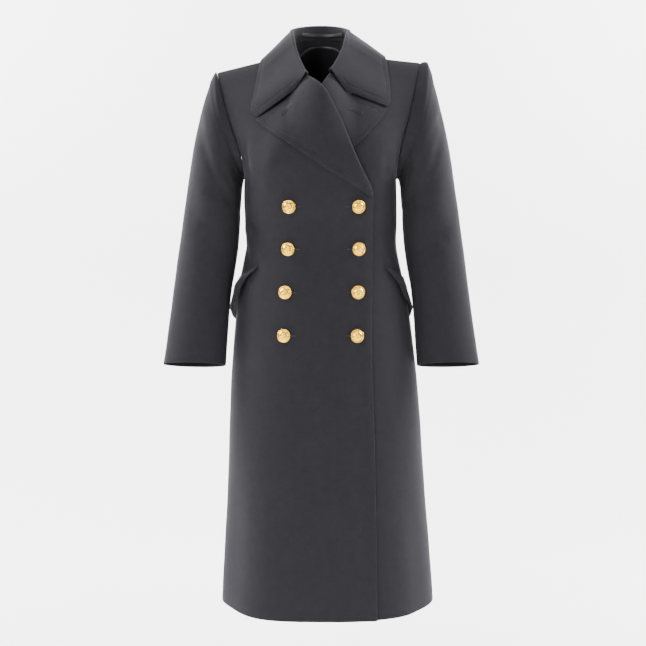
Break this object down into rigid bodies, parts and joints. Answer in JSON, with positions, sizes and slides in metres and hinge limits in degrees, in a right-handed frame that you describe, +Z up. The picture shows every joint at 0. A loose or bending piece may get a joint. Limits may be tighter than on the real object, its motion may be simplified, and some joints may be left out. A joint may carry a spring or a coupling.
{
  "type": "double-breasted overcoat",
  "caption": "Long double-breasted overcoat of heavy wool, filled out as worn but hollow, with a broad collar and lapels, slanted pocket flaps and gilt buttons.",
  "frame": {"origin": "base of the neck, midway between the neck ends of the two shoulder seams, where the wearer's shoulders hold the coat up", "axes": "+Z up along the wearer's spine, the front faces -Y, the wearer's left is +X"},
  "size_m": [0.653, 0.3545, 1.2002],
  "materials": {
    "wool": "milled wool with a short nap, navy black",
    "satin": "black satin lining",
    "gilt": "stamped and gilt, polished"
  },
  "bodies": {
    "root": {"collar": "wool", "back_lining": "satin", "hanger_loop": "satin", "right_front": "wool", "right_back": "wool", "right_sleeve": "wool", "right_lapel": "wool", "right_pocket_flap": "wool", "button_right_1": "gilt", "button_right_2": "gilt", "button_right_3": "gilt", "button_right_4": "gilt", "left_front": "wool", "left_back": "wool", "left_sleeve": "wool", "left_lapel": "wool", "left_pocket_flap": "wool", "button_left_1": "gilt", "button_left_2": "gilt", "button_left_3": "gilt", "button_left_4": "gilt"}
  },
  "joints": []
}
